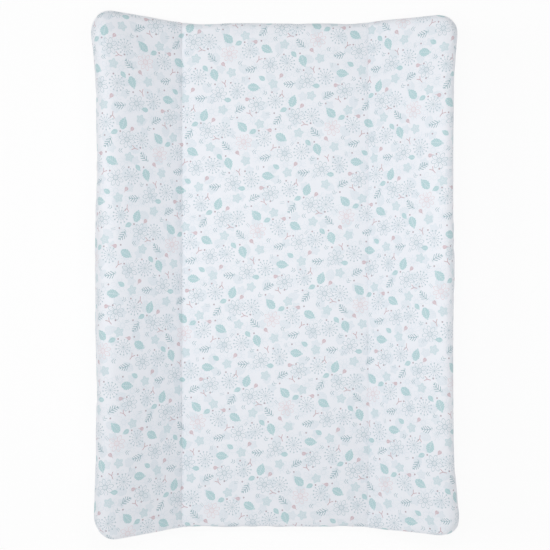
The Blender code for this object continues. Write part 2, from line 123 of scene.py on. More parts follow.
def node(tree, kind, inputs=(), output=0, **settings):
    made = tree.nodes.new(kind)
    for name, value in settings.items():
        setattr(made, name, value)
    for name, value in dict(inputs).items():
        plug(tree, value, made.inputs[name])
    return Num(tree, made.outputs[output])


def newGroup(name, inputs, outputs):
    # A shader group with named sockets. Returns the tree, its inputs as numbers and its output node.
    kinds = {"float": "NodeSocketFloat", "vector": "NodeSocketVector", "colour": "NodeSocketColor"}
    tree = bpy.data.node_groups.new(name, "ShaderNodeTree")
    for label, (kind, value) in inputs.items():
        socket = tree.interface.new_socket(label, in_out="INPUT", socket_type=kinds[kind])
        if value is not None:
            socket.default_value = value
    for label, kind in outputs.items():
        tree.interface.new_socket(label, in_out="OUTPUT", socket_type=kinds[kind])
    start = tree.nodes.new("NodeGroupInput")
    end = tree.nodes.new("NodeGroupOutput")
    return tree, {label: Num(tree, start.outputs[label]) for label in inputs}, end


def placed(tree, group, **inputs):
    made = tree.nodes.new("ShaderNodeGroup")
    made.node_tree = group
    for name, value in inputs.items():
        plug(tree, value, made.inputs[name])
    return made


def srgb(red, green, blue):
    # A colour as written for the screen, turned into the linear one that shaders take.
    shares = (red / 255, green / 255, blue / 255)
    turned = [c / 12.92 if c <= 0.04045 else ((c + 0.055) / 1.055) ** 2.4 for c in shares]
    return (*turned, 1.0)


def soft(value, edge=0.12):
    # 0 where value is under -edge and 1 where it is over edge, in millimetres.
    inputs = {"Value": value, "From Min": -edge, "From Max": edge}
    return node(value.tree, "ShaderNodeMapRange", inputs, interpolation_type="SMOOTHSTEP")


def inkOver(tree, below, ink, amount, blend="MIX"):
    mixed = tree.nodes.new("ShaderNodeMix")
    mixed.data_type, mixed.blend_type = "RGBA", blend
    for value, socket in ((amount, 0), (below, 6), (ink, 7)):
        plug(tree, value, mixed.inputs[socket])
    return Num(tree, mixed.outputs[2])


def parts(tree, vector):
    split = tree.nodes.new("ShaderNodeSeparateXYZ")
    plug(tree, vector, split.inputs[0])
    return [Num(tree, split.outputs[k]) for k in range(3)]


def joined(tree, x, y, z=0.0):
    return node(tree, "ShaderNodeCombineXYZ", {"X": x, "Y": y, "Z": z})


def noise(tree, place, scale, detail, flat=False):
    inputs = {"Vector": place, "Scale": scale, "Detail": detail}
    return node(tree, "ShaderNodeTexNoise", inputs, noise_dimensions="2D" if flat else "3D")


def absolute(value):
    return maths("ABSOLUTE", value)


def most(a, b):
    return maths("MAXIMUM", a, b)


def root(value):
    return maths("SQRT", value)


def length(x, y):
    return root(x * x + y * y)


def line(distance, width):
    return soft(width / 2 - absolute(distance))


def repeated(value, step):
    # The value's place within its step, from minus half a step to half a step.
    return (maths("FRACT", value / step) - 0.5) * step


def spoke(x, y, count):
    # Turns a point into the slice of count slices that it lies in: along the slice, and across it.
    far = length(x, y)
    turn = repeated(maths("ARCTAN2", y, x), 2 * math.pi / count)
    return far * maths("COSINE", turn), far * maths("SINE", turn), far


# Printed cloth

ditsy = {  # pitches of the sets of motifs in millimetres, how far they stray, and their size
    "pitch": 25.0,
    "ghostPitch": 18.0,
    "lean": 0.16,
    "stray": 6.0,
    "smallStray": 5.0,
    "size": 1.2,
    "ground": srgb(240, 243, 249),
    "teal": srgb(176, 210, 214),
    "deepTeal": srgb(148, 179, 188),
    "paleTeal": srgb(209, 225, 231),
    "line": srgb(190, 206, 214),
    "ghost": srgb(228, 235, 242),
    "rose": srgb(211, 189, 197),
    "deepRose": srgb(198, 168, 177),
    "paleRose": srgb(229, 217, 223),
    "dot": srgb(186, 173, 183),
    "vein": 0.55,
}


def leaf(x, y):
    # Half width 4.6 mm, falling to nothing 7.6 mm either side, with a midrib and slanting veins.
    half = (1 - x * x / 57.8) * (x * 0.16 + 4.6)
    wave = maths("SINE", x * 2.4) * 0.3
    veins = most(line(y, 0.55), line(repeated(x - absolute(y) * 0.8, 2.5), 0.45))
    return soft(half + wave - absolute(y)) * (1 - veins * ditsy["vein"])


def blossom(x, y):
    # Five round petals about a ring: the edge is 5.9 mm out at a petal's middle and 3.9 between two.
    along, across, far = spoke(x, y, 5)
    edge = 5.9 - across * across * 0.42
    veins = most(line(far - 1.5, 0.5), line(across, 0.4) * soft(far - 2.4) * soft(4.6 - far))
    return soft(edge - far) * (1 - veins * ditsy["vein"])


def sprig(x, y):
    # A bent stem 14 mm long with slanting leaves in pairs, shorter towards both ends.
    bent = y + x * x * 0.03 - 0.6
    stem = line(bent, 0.6) * soft(7.0 - absolute(x))
    slant = repeated(x - absolute(bent) * 0.9, 3.1)
    reach = (1 - x * x / 62.0) * 4.2 - absolute(bent)
    leaves = line(slant, 1.0) * soft(reach) * soft(6.6 - absolute(x))
    return most(stem, leaves)


def daisy(x, y):
    # Eight outlined petals, each an ellipse 3.4 by 2 mm with its middle 6 mm out, and two rings.
    along, across, far = spoke(x, y, 8)
    u, v = (along - 6.0) / 3.4, across / 2.0
    petal = line((length(u, v) - 1) * 2.2, 0.5)
    rings = most(line(far - 2.2, 0.45), line(far - 1.0, 0.4))
    rib = line(across, 0.3) * soft(far - 3.8) * soft(6.6 - far)
    return most(most(petal, rings), rib)


def seedHead(x, y):
    # Thirteen fine spokes that end in dots 8.6 mm out, with a second ring of dots half way.
    along, across, far = spoke(x, y, 13)
    rays = line(across, 0.36) * soft(far - 1.4) * soft(7.6 - far)
    tips = soft(0.85 - length(along - 8.6, across))
    inner = soft(0.6 - length(along - 5.2, across))
    return most(most(rays, tips), most(inner, soft(1.1 - far)))


def bud(x, y):
    # A drop 7 mm long, round at one end, with a short stalk at the other.
    half = root(most(x + 3.2, 0.0)) * (3.6 - x) * 0.38
    body = soft(half - absolute(y)) * (1 - line(absolute(y) - (x + 3.0) * 0.16, 0.3) * ditsy["vein"])
    return most(body, line(y, 0.5) * soft(5.4 - x) * soft(x - 3.0))


def twig(x, y):
    # A stalk 4.2 mm long that forks in two arms.
    arms = line((absolute(y) - x * 0.7) * 0.82, 0.75) * soft(x + 0.3) * soft(3.6 - x)
    return most(arms, line(y, 0.75) * soft(0.4 - x) * soft(x + 4.2))


def chevrons(x, y):
    # Two nested angles, each of two strokes.
    arms = repeated(x - absolute(y) * 0.8, 2.4)
    return line(arms, 0.6) * soft(2.4 - absolute(y)) * soft(3.2 - absolute(x - absolute(y) * 0.8))


def dashes(x, y):
    # Two short arcs side by side.
    return line(absolute(y + x * x * 0.05) - 0.9, 0.5) * soft(2.6 - absolute(x))


def scattered(tree, x, y, shift, pitch, stray, seed, step):
    # One motif place to each cell of a slanting lattice. Gives the place's number from 0 to 4, its
    # own three random numbers, the point as seen from the place, and as seen from the motif, which
    # is turned by a random angle. The random numbers repeat after five cells.
    kinds = 5.0
    cx, cy = x / pitch + shift, y / pitch + shift
    i, j = maths("FLOOR", cx), maths("FLOOR", cy)
    cell = joined(tree, maths("FLOORED_MODULO", i, kinds), maths("FLOORED_MODULO", j, kinds), seed)
    inputs = {"Vector": cell}
    chances = node(tree, "ShaderNodeTexWhiteNoise", inputs, output=1, noise_dimensions="3D")
    one, two, three = parts(tree, chances)
    lx = (cx - i - 0.5) * pitch + (one - 0.5) * stray
    ly = (cy - j - 0.5) * pitch + (two - 0.5) * stray
    inputs = {"Vector": joined(tree, lx, ly), "Angle": three * (2 * math.pi)}
    turned = node(tree, "ShaderNodeVectorRotate", inputs, rotation_type="Z_AXIS")
    u, v, _ = parts(tree, turned)
    kind = maths("FLOORED_MODULO", i + j * step, kinds)
    return kind, (one, two, three), (lx, ly), (u / ditsy["size"], v / ditsy["size"])


def ifKind(kind, number):
    return maths("COMPARE", kind, float(number), 0.5)


def makePrint():
    # All motifs over the ground colour. Position is in millimetres along the cloth.
    inputs = {"Position": ("vector", None), "Ground": ("colour", ditsy["ground"])}
    tree, given, end = newGroup("ditsyPrint", inputs, {"Colour": "colour", "Ink": "float"})
    px, py, _ = parts(tree, given["Position"])
    wash = noise(tree, given["Position"], 0.35, 2.0, flat=True) * 0.45 + 0.72
    x = px + py * ditsy["lean"]
    y = py - px * ditsy["lean"]
    colour, total = given["Ground"], None
    pitch, stray = ditsy["ghostPitch"], ditsy["stray"]
    kind, _, _, (u, v) = scattered(tree, x, y, 0.25, pitch, stray, 13.0, 2.0)
    layers = [
        (blossom(u, v), ditsy["ghost"], ifKind(kind, 0)),
        (leaf(u * 0.9, v * 0.9), ditsy["ghost"], ifKind(kind, 2)),
        (daisy(u, v), ditsy["ghost"], maths("GREATER_THAN", kind, 2.5)),
    ]
    pitch = ditsy["pitch"]
    kind, chance, _, (u, v) = scattered(tree, x, y, 0.0, pitch, stray, 3.0, 2.0)
    pick = maths("GREATER_THAN", chance[0], 0.72)
    lineInk = inkOver(tree, ditsy["line"], ditsy["paleRose"], pick)
    layers += [
        (leaf(u, v), ditsy["teal"], ifKind(kind, 0)),
        (blossom(u, v), ditsy["paleTeal"], ifKind(kind, 1)),
        (sprig(u, v), ditsy["deepTeal"], ifKind(kind, 2)),
        (daisy(u, v), lineInk, ifKind(kind, 3)),
        (seedHead(u, v), ditsy["line"], ifKind(kind, 4)),
    ]
    stray = ditsy["smallStray"]
    kind, chance, (lx, ly), (u, v) = scattered(tree, x, y, 0.5, pitch, stray, 8.0, 3.0)
    layers += [
        (bud(u * 1.2, v * 1.2), ditsy["rose"], ifKind(kind, 0)),
        (chevrons(u, v), ditsy["deepTeal"], ifKind(kind, 1)),
        (twig(u, v), ditsy["deepRose"], ifKind(kind, 2)),
        (dashes(u, v), ditsy["line"], ifKind(kind, 3)),
        (leaf(u * 1.7, v * 1.7), ditsy["teal"], ifKind(kind, 4)),
    ]
    dotted = maths("GREATER_THAN", chance[2], 0.45)
    layers.append((soft(1.2 - length(lx - 8.6, ly)), ditsy["dot"], dotted))
    for shape, ink, chosen in layers:
        amount = shape * chosen * wash
        colour = inkOver(tree, colour, ink, amount)
        total = amount if total is None else most(total, amount)
    tree.links.new(colour.socket, end.inputs["Colour"])
    tree.links.new(total.socket, end.inputs["Ink"])
    return tree


def makeWeave():
    # Plain weave: warp and weft threads as two crossed waves, one over the other in turn. Its Shade
    # output is partly painted shade, darker in the gaps between the threads and lighter on their
    # crowns by their height, and partly random tone of the slub.
    inputs = {"Position": ("vector", None), "Pitch": ("float", 0.6), "Slub": ("float", 0.3)}
    tree, given, end = newGroup("plainWeave", inputs, {"Height": "float", "Shade": "float"})
    wobble = noise(tree, given["Position"], 0.8, 2.0, flat=True)
    x, y, _ = parts(tree, given["Position"])
    drift = (wobble - 0.5) * given["Slub"]
    cx, cy = (x + drift) / given["Pitch"], (y + drift) / given["Pitch"]
    warp = absolute(maths("SINE", cx * math.pi))
    weft = absolute(maths("SINE", cy * math.pi))
    over = maths("FLOORED_MODULO", maths("FLOOR", cx) + maths("FLOOR", cy), 2.0)
    height = warp * over + weft * (1 - over)
    tree.links.new((height * (wobble * 0.4 + 0.8)).socket, end.inputs["Height"])
    # Painted shade between the threads, by their height, plus a little random slub tone.
    tree.links.new((height * 0.06 + wobble * 0.05 + 0.915).socket, end.inputs["Shade"])
    return tree


def inMillimetres(tree, place):
    scaled = tree.nodes.new("ShaderNodeVectorMath")
    scaled.operation = "SCALE"
    plug(tree, place, scaled.inputs[0])
    scaled.inputs["Scale"].default_value = 1000.0
    return Num(tree, scaled.outputs[0])


def uvInMillimetres(tree):
    return inMillimetres(tree, node(tree, "ShaderNodeUVMap", uv_map="cloth"))


def objectInMillimetres(tree):
    return inMillimetres(tree, node(tree, "ShaderNodeTexCoord", output=3))


def newMaterial(name, **values):
    material = bpy.data.materials.new(name)
    material.use_nodes = True
    shader = material.node_tree.nodes["Principled BSDF"]
    for socket, value in values.items():
        shader.inputs[socket.replace("_", " ")].default_value = value
    return material, material.node_tree, shader


def bumped(tree, shader, height, strength, distance):
    made = tree.nodes.new("ShaderNodeBump")
    made.inputs["Strength"].default_value = strength
    made.inputs["Distance"].default_value = distance
    plug(tree, height, made.inputs["Height"])
    tree.links.new(made.outputs[0], shader.inputs["Normal"])


def tinted(tree, colour, shade):
    # Colour times a shade that changes over the surface.
    grey = node(tree, "ShaderNodeCombineColor", {"Red": shade, "Green": shade, "Blue": shade})
    return inkOver(tree, colour, grey, 1.0, "MULTIPLY")


printGroup = makePrint()
weaveGroup = makeWeave()


def makePrintedCloth():
    # The print over a plain weave, on a broad soft wave of the cloth. Ink is a little less glossy.
    sheen = {"Sheen_Weight": 0.12, "Sheen_Roughness": 0.5}
    material, tree, shader = newMaterial("printedCloth", Specular_IOR_Level=0.4, **sheen)
    place = uvInMillimetres(tree)
    dressed = placed(tree, printGroup, Position=place)
    weave = placed(tree, weaveGroup, Position=place, Pitch=0.7, Slub=0.4)
    threads = Num(tree, weave.outputs["Height"])
    colour = Num(tree, dressed.outputs["Colour"])
    # The print is darkened by the weave's painted shade between the threads.
    plug(tree, tinted(tree, colour, Num(tree, weave.outputs["Shade"])), shader.inputs["Base Color"])
    rough = Num(tree, dressed.outputs["Ink"]) * 0.08 + threads * 0.1 + 0.35
    plug(tree, rough, shader.inputs["Roughness"])
    slack = noise(tree, place, 0.03, 2.0, flat=True)
    bumped(tree, shader, threads * 0.05 + slack * 1.2, 1.0, mm)
    return material


def makePlainCloth(name, colour, pitch, depth, roughness, reader=uvInMillimetres):
    # A plain weave of threads pitch apart and depth high, in millimetres.
    finish = {"Roughness": roughness, "Sheen_Weight": 0.1, "Specular_IOR_Level": 0.35}
    material, tree, shader = newMaterial(name, **finish)
    weave = placed(tree, weaveGroup, Position=reader(tree), Pitch=pitch, Slub=0.4)
    threads = Num(tree, weave.outputs["Height"])
    # The colour is darkened by the weave's painted shade between the threads.
    toned = tinted(tree, colour, Num(tree, weave.outputs["Shade"]))
    plug(tree, toned, shader.inputs["Base Color"])
    plug(tree, threads * 0.12 + (roughness - 0.06), shader.inputs["Roughness"])
    bumped(tree, shader, threads, 1.0, depth * mm)
    return material


def makeFoam():
    # Open cells a little over a millimetre wide, darker between the walls as painted shade in the
    # hollows of the pores, under a faint cloud of random tone.
    material, tree, shader = newMaterial("cutFoam", Roughness=0.95, Specular_IOR_Level=0.2)
    place = objectInMillimetres(tree)
    inputs = {"Vector": place, "Scale": 0.8, "Randomness": 1.0}
    cells = node(tree, "ShaderNodeTexVoronoi", inputs, voronoi_dimensions="3D")
    tone = noise(tree, place, 0.02, 3.0)
    # Painted shade: the hollows of the cells, low in the bump, are darker.
    colour = tinted(tree, srgb(244, 242, 235), tone * 0.12 + cells * 0.2 + 0.82)
    plug(tree, colour, shader.inputs["Base Color"])
    bumped(tree, shader, cells, 1.0, 0.6 * mm)
    return material


def makePlastic():
    material, tree, shader = newMaterial("mouldedPlastic", Roughness=0.35, Coat_Weight=0.1)
    cloud = noise(tree, objectInMillimetres(tree), 0.6, 3.0)
    colour = tinted(tree, srgb(238, 241, 245), cloud * 0.08 + 0.94)
    plug(tree, colour, shader.inputs["Base Color"])
    plug(tree, cloud * 0.2 + 0.28, shader.inputs["Roughness"])
    bumped(tree, shader, cloud, 0.5, 0.05 * mm)
    return material


def makeMetal():
    # Plated metal, brushed along the zip, with a cloud of handling.
    material, tree, shader = newMaterial("platedMetal", Metallic=1.0, Roughness=0.25)
    place = objectInMillimetres(tree)
    x, y, z = parts(tree, place)
    brushed = noise(tree, joined(tree, x * 0.5, y * 4.0, z * 4.0), 1.0, 4.0)
    cloud = noise(tree, place, 0.3, 3.0)
    colour = tinted(tree, srgb(214, 215, 218), brushed * 0.14 + 0.9)
    plug(tree, colour, shader.inputs["Base Color"])
    plug(tree, brushed * 0.15 + cloud * 0.15 + 0.14, shader.inputs["Roughness"])
    bumped(tree, shader, brushed, 0.6, 0.03 * mm)
    return material


printedCloth = makePrintedCloth()
plainCloth = makePlainCloth("plainCloth", srgb(238, 241, 246), 0.8, 0.06, 0.52)
webCloth = makePlainCloth("webCloth", srgb(232, 232, 232), 1.0, 0.1, 0.85)
tapeCloth = makePlainCloth("tapeCloth", srgb(234, 238, 242), 0.9, 0.14, 0.8)
threadTone = srgb(240, 243, 247)
threadCloth = makePlainCloth("threadCloth", threadTone, 0.3, 0.05, 0.6, objectInMillimetres)
cutFoam = makeFoam()
mouldedPlastic = makePlastic()
platedMetal = makeMetal()
print("materials made")


# Shapes

def ease(t):
    t = np.clip(t, 0, 1)
    return t * t * (3 - 2 * t)


def bump(t):
    # 1 at t = 0, falling smoothly to 0 at 1 on either side.
    return 1 - ease(np.abs(t))


def bySide(name, x):
    # A size of the mat that differs between its left and right half.
    return np.where(x < 0, mat[name]["left"], mat[name]["right"])


def topHeight(x, y):
    # Centre: a low crown. Wings: a slope that eases to level at the edge, by a cube past its start.
    # Both fall into a groove, the centre by a quarter ellipse and a wing by a square.
    crease, start = mat["creaseX"], mat["easeFrom"]
    past = np.abs(x) - crease
    whole = mat["halfWidth"] - crease
    crown = 1 - np.minimum(1, np.abs(x) / crease) ** 2
    crown = mat["centreCrown"] * crown * (1 - (y / mat["halfLength"]) ** 2)
    climbed = np.clip(past, 0, whole)
    eased = np.maximum(0, climbed - start * whole) ** 3 / (3 * ((1 - start) * whole) ** 2)
    height = mat["centreHeight"] + crown + bySide("slope", x) * (climbed - eased)
    reaches = mat["creaseReach"]
    wing = np.where(x < 0, reaches["leftWing"], reaches["rightWing"])
    near = np.maximum(0, 1 - np.abs(past) / np.where(past < 0, reaches["centre"], wing))
    groove = np.where(past < 0, 1 - np.sqrt(1 - near ** 2), near ** 2)
    return height - bySide("creaseDepth", x) * groove


def flared(x, y, low):
    # Each corner stands out by its own flare, which grows as a power along the side. The top of the
    # right wing is a little short, in proportion to the way along it; low is 1 at the wall's foot.
    flares = mat["flares"]
    head = np.where(x > 0, flares["headRight"], flares["headLeft"])
    foot = np.where(x > 0, flares["footRight"], flares["footLeft"])
    out = ease((np.abs(x) - mat["creaseX"]) / (flatX - mat["creaseX"]))
    flare = np.where(y > 0, head, foot) * out * (np.abs(y) / mat["halfLength"]) ** mat["flarePower"]
    short = mat["shortRight"] * out * (x > 0) * (1 - low)
    return x + np.sign(x) * flare, y * (1 - short / mat["halfLength"])


def cornerAngle(qx, qy):
    # 0 faces the long side, a quarter turn faces the end; between them it runs with the rings.
    ratio = np.minimum(qx, qy) / np.maximum(np.maximum(qx, qy), 1e-9)
    return np.where(qx >= qy, quarter / 2 * ratio, quarter - quarter / 2 * ratio)


def radiusAt(x, angle):
    # Radius of the edge's roll, from the side's to the end's by the square of the angle's sine.
    share = np.sin(angle) ** 2
    return bySide("sideRoll", x) * (1 - share) + mat["endRoll"] * share


def outwards(x, y, reach, angle):
    # Moves the points on the rim of the flat part by reach, in the direction of angle.
    across = np.where(np.abs(x) >= flatX - tiny, np.sign(x) * reach * np.cos(angle), 0)
    lengthwise = np.where(np.abs(y) >= flatY - tiny, np.sign(y) * reach * np.sin(angle), 0)
    return x + across, y + lengthwise


def turnedHem(q):
    # How far the hem goes in and down past q = 2: a small quarter roll, then a short flat run.
    curl = np.clip(q - 2, 0, hem["curl"]) / hem["curl"] * quarter
    flat = np.clip(q - 2 - hem["curl"], 0, 1 - hem["curl"]) / (1 - hem["curl"]) * hem["run"]
    return hem["lip"] * (1 - np.cos(curl)) + flat, hem["lip"] * np.sin(curl)


def coverAt(x, y, q, angle):
    # Outwards from (x, y) in the direction of angle: flat run, quarter roll (q to 1), wall (q to 2),
    # then the hem turned in (q to 3). Over the slot, at the foot, the wall ends higher up.
    radius = radiusAt(x, angle)
    run = mat["core"] - radius
    s = np.clip(q, 0, 1) * (run + radius * quarter)
    turn = np.maximum(0, s - run) / radius
    down = np.clip(q - 1, 0, 1)
    inwards, under = turnedHem(q)
    reach = np.minimum(s, run) + radius * np.sin(turn) - mat["tuck"] * down ** 2 - inwards
    px, py = outwards(x, y, reach, angle)
    top = topHeight(px, py) - radius * (1 - np.cos(turn))
    px, py = flared(px, py, down)
    faces = mat["slotAngle"]
    facesFoot = (y < 0) * ease((angle - faces["from"]) / faces["over"])
    overSlot = facesFoot * (1 - ease((np.abs(px) - mat["slotX"]) / mat["slotEnd"]))
    low = mat["seam"] + mat["seamGap"]
    edge = low + (mat["slotTop"] - low) * overSlot + hem["lip"]
    return np.stack([px, py, top + (edge - top) * down - under], -1)


def graded(*runs):
    # Stations from run to run: each run is (its end, how many steps lead there), starting at 0.
    values, here = [0.0], 0.0
    for end, steps in runs:
        values += list(np.linspace(here, end, steps + 1)[1:])
        here = end
    return np.array(values)


def mirrored(flats, rings):
    # Both sides of an axis: places, and ring values that are 0 on the flat part.
    place = np.concatenate([flats, np.full(len(rings), flats[-1])])
    ring = np.concatenate([np.zeros(len(flats)), rings])
    return np.concatenate([-place[:0:-1], place]), np.concatenate([ring[:0:-1], ring])


def evenSteps(count, low=0.0, high=1.0):
    return np.linspace(low, high, count + 1)[1:]


def ringsOf(roll, wall, curl):
    # Ring values of the rim: the roll to 1, the wall to 2, and the hem, if any, to 3.
    turned = [2 + hem["curl"] * evenSteps(curl), [3.0]] if curl else []
    return np.concatenate([evenSteps(roll), evenSteps(wall, 1, 2), *turned])


def rimGrid(x, qx, y, qy):
    # Two axes, each with its places and ring values, as a grid with each point's ring and angle.
    x, y = np.meshgrid(x, y)
    qx, qy = np.meshgrid(qx, qy)
    return x, y, qx, qy, np.maximum(qx, qy), cornerAngle(qx, qy)


def normalsOf(grid):
    normal = np.cross(np.gradient(grid, axis=1), np.gradient(grid, axis=0))
    return normal / np.maximum(np.linalg.norm(normal, axis=-1, keepdims=True), 1e-9)


def gridFaces(rows, columns):
    index = np.arange(rows * columns).reshape(rows, columns)
    corners = [index[:-1, :-1], index[:-1, 1:], index[1:, 1:], index[1:, :-1]]
    return np.stack(corners, -1).reshape(-1, 4)


def meshFrom(name, points, faceLists, material, uvs=None):
    # Points in millimetres. Faces are arrays of quads or triangles; uvs one row per face corner.
    mesh = bpy.data.meshes.new(name)
    corners = np.concatenate([faces.ravel() for faces in faceLists])
    sizes = np.concatenate([np.full(len(faces), faces.shape[1]) for faces in faceLists])
    starts = np.concatenate([[0], np.cumsum(sizes)[:-1]])
    mesh.vertices.add(len(points))
    mesh.vertices.foreach_set("co", (np.asarray(points) * mm).ravel())
    mesh.loops.add(len(corners))
    mesh.loops.foreach_set("vertex_index", corners)
    mesh.polygons.add(len(sizes))
    mesh.polygons.foreach_set("loop_start", starts)
    mesh.update(calc_edges=True)
    mesh.validate()
    mesh.polygons.foreach_set("use_smooth", np.full(len(sizes), True))
    if uvs is not None:
        layer = mesh.uv_layers.new(name="cloth")
        layer.data.foreach_set("uv", (np.asarray(uvs) * mm).ravel())
    mesh.materials.append(material)
    made = bpy.data.objects.new(name, mesh)
    bpy.context.scene.collection.objects.link(made)
    return made


def thicken(piece, thickness):
    solid = piece.modifiers.new("thickness", "SOLIDIFY")
    solid.thickness = thickness * mm
    solid.offset = -1


coverMesh = {  # steps of the cover's mesh
    "centre": 22,
    "shoulder": 7,
    "toe": 10,
    "wing": 15,
    "length": 104,
    "roll": 12,
    "wall": 18,
    "curl": 3,
}


def coverGrid(steps):
    # The whole cover as one grid, with its rings and angles.
    crease, reaches = mat["creaseX"], mat["creaseReach"]
    ends = (crease - reaches["centre"], crease, crease + reaches["leftWing"], flatX)
    flats = graded(*zip(ends, (steps[name] for name in ("centre", "shoulder", "toe", "wing"))))
    rings = ringsOf(steps["roll"], steps["wall"], steps["curl"])
    return rimGrid(*mirrored(flats, rings), *mirrored(graded((flatY, steps["length"])), rings))


def clothPlace(x, y, q, angle, surface, steps=30):
    # Where each point lies on the flat cloth, once as part of a side and once as part of an end.
    # Past the roll the side's cloth runs straight on across and the end's straight on along.
    fine = np.linspace(0, mat["halfWidth"], 961)
    rise = topHeight(fine, np.zeros_like(fine))
    girth = np.concatenate([[0], np.cumsum(np.hypot(np.diff(fine), np.diff(rise)))])
    u = np.sign(x) * np.interp(np.abs(x), fine, girth)
    path, before, limb = 0.0, surface(x, y, q * 0, angle), 0.0
    for k in range(1, steps + 1):
        ring = q * k / steps
        here = surface(x, y, ring, angle)
        step = np.linalg.norm(here - before, axis=-1)
        path, before = path + step, here
        limb = limb + step * (ring <= 1)
    sx, sy = np.sign(x), np.sign(y)
    past = path - limb
    side = np.stack([u + sx * (limb * np.cos(angle) + past), y + sy * limb * np.sin(angle)], -1)
    end = np.stack([u + sx * limb * np.cos(angle), y + sy * (limb * np.sin(angle) + past)], -1)
    return side, end


def cutFaces(qx, qy, x, y):
    # Quads of the grid and which of them belong to a side, then the same for the halves of the
    # quads on a corner's diagonal, which are cut along it.
    quads = gridFaces(*qx.shape)
    cellX = np.maximum(qx[:-1, :-1], qx[1:, 1:]).ravel()
    cellY = np.maximum(qy[:-1, :-1], qy[1:, 1:]).ravel()
    middleX = (x[:-1, :-1] + x[1:, 1:]).ravel()
    middleY = (y[:-1, :-1] + y[1:, 1:]).ravel()
    diagonal = (np.abs(cellX - cellY) < tiny) & (cellX > 0)
    cut = quads[diagonal]
    rising = (middleX * middleY > 0)[diagonal]
    right = (middleX > 0)[diagonal]
    first = np.where(rising[:, None], cut[:, [0, 1, 2]], cut[:, [0, 1, 3]])
    second = np.where(rising[:, None], cut[:, [0, 2, 3]], cut[:, [1, 2, 3]])
    halfSide = np.concatenate([right == rising, right != rising])
    return quads[~diagonal], (cellX > cellY)[~diagonal], np.concatenate([first, second]), halfSide


looseCloth = {  # the cloth simulation that gives the cover its slack, and how much of it is kept
    "mesh": {
        "centre": 14,
        "shoulder": 1,
        "toe": 2,
        "wing": 9,
        "length": 64,
        "roll": 6,
        "wall": 9,
        "curl": 0,
    },
    "settings": {
        "quality": 6,
        "mass": 0.3,
        "tension_stiffness": 25,
        "compression_stiffness": 25,
        "shear_stiffness": 10,
        "bending_stiffness": 0.6,
        "shrink_min": -0.012,  # below 0 the cloth is cut too large by this share
        "vertex_group_mass": "held",
        "use_pressure": True,
        "uniform_pressure_force": 1.2,
    },
    "heldBesideCrease": 5.0,
    "heldFrom": 1.75,  # ring of the wall from which the cloth is held more and more
    "frames": 24,
    "cap": 3.0,
    "kept": {"top": 0.25, "wall": 1.0},
    "wallFrom": 0.55,  # ring at which the wall's share sets in, and over how much of a ring
    "wallOver": 0.6,
    "endsFrom": 1.9,
}


def settle():
    # Cloth held at the creases and the hem, cut a little too large, lightly blown up. Gives how far
    # each point of its grid moves outwards, in millimetres, and the grid's stations.
    values = looseCloth
    x, y, qx, qy, q, angle = coverGrid(values["mesh"])
    points = coverAt(x, y, np.minimum(q, 2), angle)
    rows, columns = x.shape
    trial = meshFrom("trialCloth", points.reshape(-1, 3), [gridFaces(rows, columns)], printedCloth)
    held = trial.vertex_groups.new(name="held")
    near = bump((np.abs(x) - mat["creaseX"]) / values["heldBesideCrease"]) * (qx == 0)
    low = ease((q - values["heldFrom"]) / (2 - values["heldFrom"]))
    weight = np.maximum(near, low).ravel().round(2)
    for level in np.unique(weight[weight > 0]):
        held.add(np.flatnonzero(weight == level).tolist(), float(level), "REPLACE")
    cloth = trial.modifiers.new("cloth", "CLOTH")
    for name, value in values["settings"].items():
        setattr(cloth.settings, name, value)
    cloth.settings.effector_weights.gravity = 0
    cloth.point_cache.frame_end = values["frames"]
    scene = bpy.context.scene
    for number in range(1, values["frames"] + 1):
        scene.frame_set(number)
    moved = trial.evaluated_get(bpy.context.evaluated_depsgraph_get()).to_mesh()
    after = np.zeros(rows * columns * 3, np.float32)
    moved.vertices.foreach_get("co", after)
    scene.frame_set(1)
    after = after.reshape(rows, columns, 3) / mm
    bpy.data.objects.remove(trial)
    out = ((after - points) * normalsOf(points)).sum(-1)
    return np.clip(out, -values["cap"], values["cap"]), x, y, qx, qy


def spline(places, count):
    # Cubic weights of count evenly numbered values at each place: a coarse grid reads smoothly.
    gap = np.abs(places[:, None] - np.arange(count)[None])
    near = 2 / 3 - gap ** 2 + gap ** 3 / 2
    far = (2 - gap) ** 3 / 6
    weights = np.where(gap < 1, near, np.where(gap < 2, far, 0))
    return weights / weights.sum(1, keepdims=True)


def readAt(places, rings, coarsePlaces, coarseRings, ringWidth=60.0):
    # Cubic weights that read a coarse row of the rim at a finer row's points, rings in order.
    coarse = coarsePlaces + np.sign(coarsePlaces) * coarseRings * ringWidth
    fine = places + np.sign(places) * np.minimum(rings, 2) * ringWidth
    return spline(np.interp(fine, coarse, np.arange(len(coarse))), len(coarse))


def slackAt(x, y, q, qx, qy):
    # The settled cloth's outward moves, read at the points of a finer grid. On top only a share is
    # kept; the whole is kept on the walls, and it ends at the hem.
    out, tx, ty, tqx, tqy = settle()
    across = readAt(x[0], qx[0], tx[0], tqx[0])
    lengthwise = readAt(y[:, 0], qy[:, 0], ty[:, 0], tqy[:, 0])
    values, kept = looseCloth, looseCloth["kept"]
    onWall = ease((q - values["wallFrom"]) / values["wallOver"])
    share = kept["top"] + (kept["wall"] - kept["top"]) * onWall
    ended = ease((q - values["endsFrom"]) / (2 - values["endsFrom"]))
    return lengthwise @ out @ across.T * share * (1 - ended)


